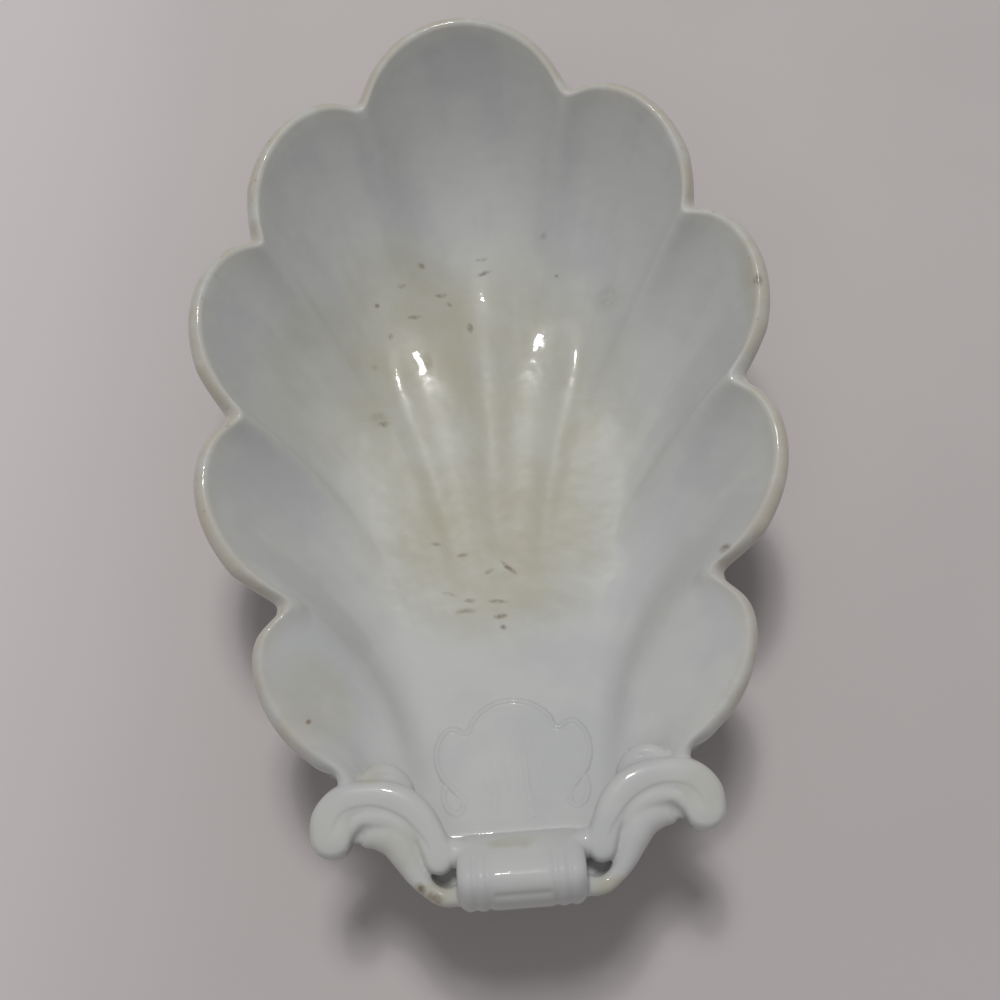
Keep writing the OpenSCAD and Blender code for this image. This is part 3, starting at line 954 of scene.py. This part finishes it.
# Lines pressed in with a tool: the step below the crown, the cleft of the ball end, and the bar's bands and
# panel. A line's depth comes before its width.
crown_step = [
    (45, -111), (43.6, -108.6), (41.2, -107), (36.4, -106.4), (31.4, -107.9), (27, -110.8), (22.6, -116),
]
end_cleft = [(34.8, -110.8), (37.8, -111.6), (39.4, -114.1), (40.2, -117), (40.2, -120)]
band_lines = (8.0, 11.3)
panel_half = 7.2
panel_line_y = -129.4
step_depth = 0.22
step_widths = (1.6, 0.5)
cleft_press = (0.8, 1.2)
band_press = (0.36, 0.8)
panel_press = (0.26, 0.75)
edge_run = 0.8
press_lift = 3
clay = mesh_points(handle_clay, "co")
step_gap, step_side = line_distance(clay, rounded_line(crown_step, 6))
step_width = np.where(step_side > 0, *step_widths)
raised = ramp((clay[:, 2] - shelf_height) / press_lift)
pressed = hollow(step_gap, step_depth, step_width) * raised
pressed += hollow(line_distance(clay, end_cleft)[0], *cleft_press) * ramp((clay[:, 0] - 34) / 6)
on_bar = ramp((bar_half + 0.4 - clay[:, 0]) / edge_run) * ramp((-116.5 - clay[:, 1]) / 5)
for band_x in band_lines:
    pressed += hollow(clay[:, 0] - band_x, *band_press) * on_bar
panel_edge = ramp((panel_half - np.abs(clay[:, 0])) / edge_run)
pressed += hollow(clay[:, 1] - panel_line_y, *panel_press) * panel_edge * raised
move_points(handle_clay, clay - pressed[:, None] * mesh_points(handle_clay, "normal"))

# The clay is cut apart at the joints between the bar and the scrolls, and mirrored to the left.
joint_x = 15.2
scroll_back_y = -92.5
slant_y = -110
slant_way = (-0.875, 0.483, 0)
bar_back_y = -111
smooth_angle = math.radians(60)
right_scroll = copied("right_scroll_clay", handle_clay)
trim(right_scroll, (joint_x, 0, 0), (-1, 0, 0), True)
trim(right_scroll, (0, scroll_back_y, 0), (0, 1, 0), True)
trim(right_scroll, (joint_x, slant_y, 0), slant_way, True)
handle_roll = copied("banded_handle_roll", handle_clay)
trim(handle_roll, (joint_x, 0, 0), (1, 0, 0), True)
trim(handle_roll, (0, bar_back_y, 0), (0, 1, 0), True)
trim(handle_roll, (0, 0, 0), (-1, 0, 0), False)
finish_modifier(handle_roll, "MIRROR", merge_threshold=0.01 * mm)
bpy.data.objects.remove(handle_clay)
left_scroll = copied("left_scroll_clay", right_scroll)
make_active(left_scroll)
bpy.ops.transform.mirror(constraint_axis=(True, False, False), center_override=(0, 0, 0))
bpy.ops.object.transform_apply(location=True, rotation=True, scale=True)

handle_stains = [
    ((-46, -110, 42), (9, 10, 12), 0, 0.15),
    ((-30, -117, 42), (8, 8, 10), 0, 0.4),
    ((-37, -98, 44), (7, 4, 8), 0, 0.5),
    ((-21, -128, 42), (8, 5, 8), 0, 0.9),
    ((46, -108, 42), (8, 9, 12), 0, 0.3),
    ((21, -129, 42), (6, 4, 8), 0, 0.8),
    ((-2, -117, 44), (8, 2.4, 8), 0, 0.6),
]
handle_marks = [
    ((-24.4, -125.8, 44), (2, 1.3, 8), -50, 0.95),
    ((-21.2, -128.4, 43), (3.4, 1.7, 8), -25, 0.75),
    ((18.5, -131.4, 42), (3, 0.7, 6), 10, 0.5),
]
handle_glaze = worn_glaze("worn_white_glaze_handle", handle_stains, handle_marks, [], False)
handle_pieces = ((handle_roll, "handle_roll"), (left_scroll, "left_scroll"), (right_scroll, "right_scroll"))
for piece, node in handle_pieces:
    close_seams(piece, fill=False)
    bpy.ops.object.shade_smooth_by_angle(angle=smooth_angle)
    piece.data.materials.append(handle_glaze)
    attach(piece, "root")
    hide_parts(node)

# Shell sprig
# A thin shell pressed in a small mould and laid on the slope, softened by the glaze. It has a raised edge
# round three lobes, faint ribs over the middle one, two fine ridges towards the bar and a curl at each foot.
sprig_low, sprig_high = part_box("shell_sprig")
sprig_half = sprig_high.x / mm + 1
sprig_top = sprig_high.y / mm + 1
sprig_foot = sprig_low.y / mm - 3
sprig_outline = [
    (0, -77.8), (4.5, -78.6), (8.6, -80.9), (11.2, -83.8), (12.4, -86.4), (14.4, -85.3), (16.9, -85),
    (19.2, -86.8), (20.8, -90), (21.2, -94.4), (20.1, -98.6), (18.2, -101.6), (15.6, -104.4), (13.8, -106.6),
]
curl_outline = [
    (18.2, -101.6), (18.6, -104.4), (17.6, -107.4), (15.4, -108.8), (13.6, -107.8), (13.8, -106.6),
]
middle_ridge = [(2.4, -91), (2.8, -98), (3.6, -106), (4.4, -113)]
left_ridge = [(-5.6, -104), (-5.4, -108), (-5.6, -113)]
sheet_columns = 190
sheet_rows = 150

# Heights of the relief. A ridge's or a groove's height comes before its width.
pad_height = 0.4
bead_shape = (0.32, 0.6)
bead_inset = 0.9
furrow_shape = (0.12, 0.6)
furrow_inset = 2.1
rib_height = 0.07
rib_turns = 46
fan_foot_y = -122
curl_shape = (0.5, 0.75)
middle_shape = (0.3, 0.8)
left_shape = (0.26, 0.8)
bedded = 0.12
kept_above = -0.1
dropped = -0.6
sprig_thickness = 1.2


def inside_line(points, line):
    """Whether each point lies inside a closed line, by counting crossings."""
    inside_it = np.zeros(len(points), bool)
    for (x1, y1), (x2, y2) in zip(line, np.roll(line, -1, axis=0)):
        spans = (y1 > points[:, 1]) != (y2 > points[:, 1])
        rise = y2 - y1 if y2 != y1 else 1e-9
        inside_it ^= spans & (points[:, 0] < (x2 - x1) * (points[:, 1] - y1) / rise + x1)
    return inside_it


outline_half = rounded_line(sprig_outline, 6)
outline = np.concatenate([outline_half, (outline_half * [-1, 1])[::-1]])
across_places = np.linspace(-sprig_half, sprig_half, sheet_columns)
up_places = np.linspace(sprig_foot, sprig_top, sheet_rows)
across, up = np.meshgrid(across_places, up_places, indexing="ij")
sheet = np.stack([across, up, np.full_like(up, rim_height)], -1)
shell_sprig, _, _ = grid_piece("shell_sprig_relief", sheet)
downwards = {"wrap_method": "PROJECT", "use_project_z": True, "use_negative_direction": True}
downwards["use_positive_direction"] = False
finish_modifier(shell_sprig, "SHRINKWRAP", target=shell_bowl, **downwards)
relief = mesh_points(shell_sprig, "co")
folded = relief.copy()
folded[:, 0] = np.abs(folded[:, 0])
edge_gap = line_distance(folded, outline_half)[0]
signed = np.where(inside_line(relief, outline), edge_gap, -edge_gap)
curl_gap = line_distance(folded, rounded_line(curl_outline, 5))[0]
ridge_gap = line_distance(relief, rounded_line(middle_ridge, 6))[0]
other_gap = line_distance(relief, rounded_line(left_ridge, 6))[0]
foot_fade = ramp((relief[:, 1] + 109) / 8)
pad = pad_height * ramp((signed + 0.3) / 1.6)
bead = hollow(signed - bead_inset, *bead_shape)
furrow = hollow(signed - furrow_inset, *furrow_shape)
fan = np.degrees(np.arctan2(relief[:, 0], relief[:, 1] - fan_foot_y))
rib_fade = ramp((signed - 2.4) / 3) * ramp((12 - np.abs(relief[:, 0])) / 5)
ribs = rib_height * np.cos(np.radians(fan * rib_turns)) * rib_fade
curl = hollow(curl_gap, *curl_shape)
ridge_fade = ramp((relief[:, 1] + 113.5) / 5)
ridges = (hollow(ridge_gap, *middle_shape) + hollow(other_gap, *left_shape)) * ridge_fade
lift = np.maximum((pad + bead - furrow + ribs) * foot_fade + ridges, curl) - bedded
relief[:, 2] += np.where(lift > kept_above, lift, dropped)
move_points(shell_sprig, relief)
make_active(shell_sprig)
bpy.ops.object.mode_set(mode="EDIT")
bpy.ops.mesh.select_mode(type="VERT")
bpy.ops.mesh.select_all(action="DESELECT")
bpy.ops.object.mode_set(mode="OBJECT")
shell_sprig.data.vertices.foreach_set("select", lift < kept_above)
bpy.ops.object.mode_set(mode="EDIT")
bpy.ops.mesh.delete(type="VERT")
bpy.ops.object.mode_set(mode="OBJECT")
finish_modifier(shell_sprig, "SOLIDIFY", thickness=sprig_thickness * mm, offset=-1)
close_seams(shell_sprig, fill=False)
sprig_glaze = worn_glaze("worn_white_glaze_sprig", [], [], [], False)
shell_sprig.data.materials.append(sprig_glaze)
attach(shell_sprig, "root")
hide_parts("shell_sprig")

# Table, light and camera
# A plain pale table, with light painted on it that makes it lighter at the left. A soft lamp stands high
# behind the dish, with a small one beside it that gives the glints, a weak one stands in front, and the room
# is dim and even.
# The camera looks down on the dish from the handle's end, as the photograph does.
table_size = 6
bpy.ops.object.select_all(action="DESELECT")
bpy.ops.mesh.primitive_plane_add(size=table_size, location=(0, 0, 0))
table = bpy.context.object
table.name = "table"
table_pale = (0.535, 0.49, 0.485, 1)
table_shade = (0.515, 0.472, 0.467, 1)
table_painted_light = (0.63, 0.585, 0.585, 1)
table_painted_light_x = (-0.07, -0.18)
table_rough = 0.55


def pale_table():
    """A matt pale surface with a little drift in its tone, and painted light that makes it lighter at the
    left.
    """
    material = bpy.data.materials.new("pale_table")
    material.use_nodes = True
    tree = material.node_tree
    shader = tree.nodes["Principled BSDF"]
    place = knot(tree, "ShaderNodeTexCoord", {}).outputs["Object"]
    drift = spread(tree, cloud(tree, place, scale=5, detail=3), 0.35, 0.7)
    across = knot(tree, "ShaderNodeSeparateXYZ", {0: place}).outputs["X"]
    # Painted light: the table's colour turns lighter towards the left.
    painted_light_share = spread(tree, across, *table_painted_light_x)
    plain = tint(tree, drift, table_pale, table_shade)
    feed(tree, shader.inputs["Base Color"], tint(tree, painted_light_share, plain, table_painted_light))
    shader.inputs["Roughness"].default_value = table_rough
    return material


table.data.materials.append(pale_table())

scene = bpy.context.scene
scene.view_settings.view_transform = "Standard"
room_colour = (0.96, 0.98, 1, 1)
room_strength = 0.235
world = bpy.data.worlds.new("room")
scene.world = world
world.use_nodes = True
room = world.node_tree.nodes["Background"]
room.inputs["Color"].default_value = room_colour
room.inputs["Strength"].default_value = room_strength
lamp_distance = 1.6


def soft_lamp(name, way, size, power, mirrored):
    """A round lamp that faces the dish. Only a mirrored one shows as a glint in the glaze."""
    place = Vector(way).normalized() * lamp_distance
    bpy.ops.object.light_add(type="AREA", location=place)
    lamp = bpy.context.object
    lamp.name = name
    lamp.data.shape = "DISK"
    lamp.data.size = size
    lamp.data.energy = power
    lamp.rotation_euler = (-place).to_track_quat("-Z", "Y").to_euler()
    lamp.visible_glossy = mirrored


soft_lamp("lamp_behind", way=(-0.02, 0.38, 0.92), size=0.5, power=12.6, mirrored=False)
soft_lamp("lamp_glint", way=(-0.05, 0.43, 0.9), size=0.1, power=1.8, mirrored=True)
soft_lamp("lamp_front", way=(-0.3, -0.6, 0.75), size=0.9, power=1.6, mirrored=False)

bpy.ops.object.camera_add(location=camera_place)
camera = bpy.context.object
camera.data.sensor_width = camera_sensor
camera.data.lens = camera_lens
camera.data.clip_start = 0.01
turned = Matrix((right_way, up_way, -forward)).transposed().to_4x4()
camera.matrix_world = Matrix.Translation(camera_place) @ turned
scene.camera = camera
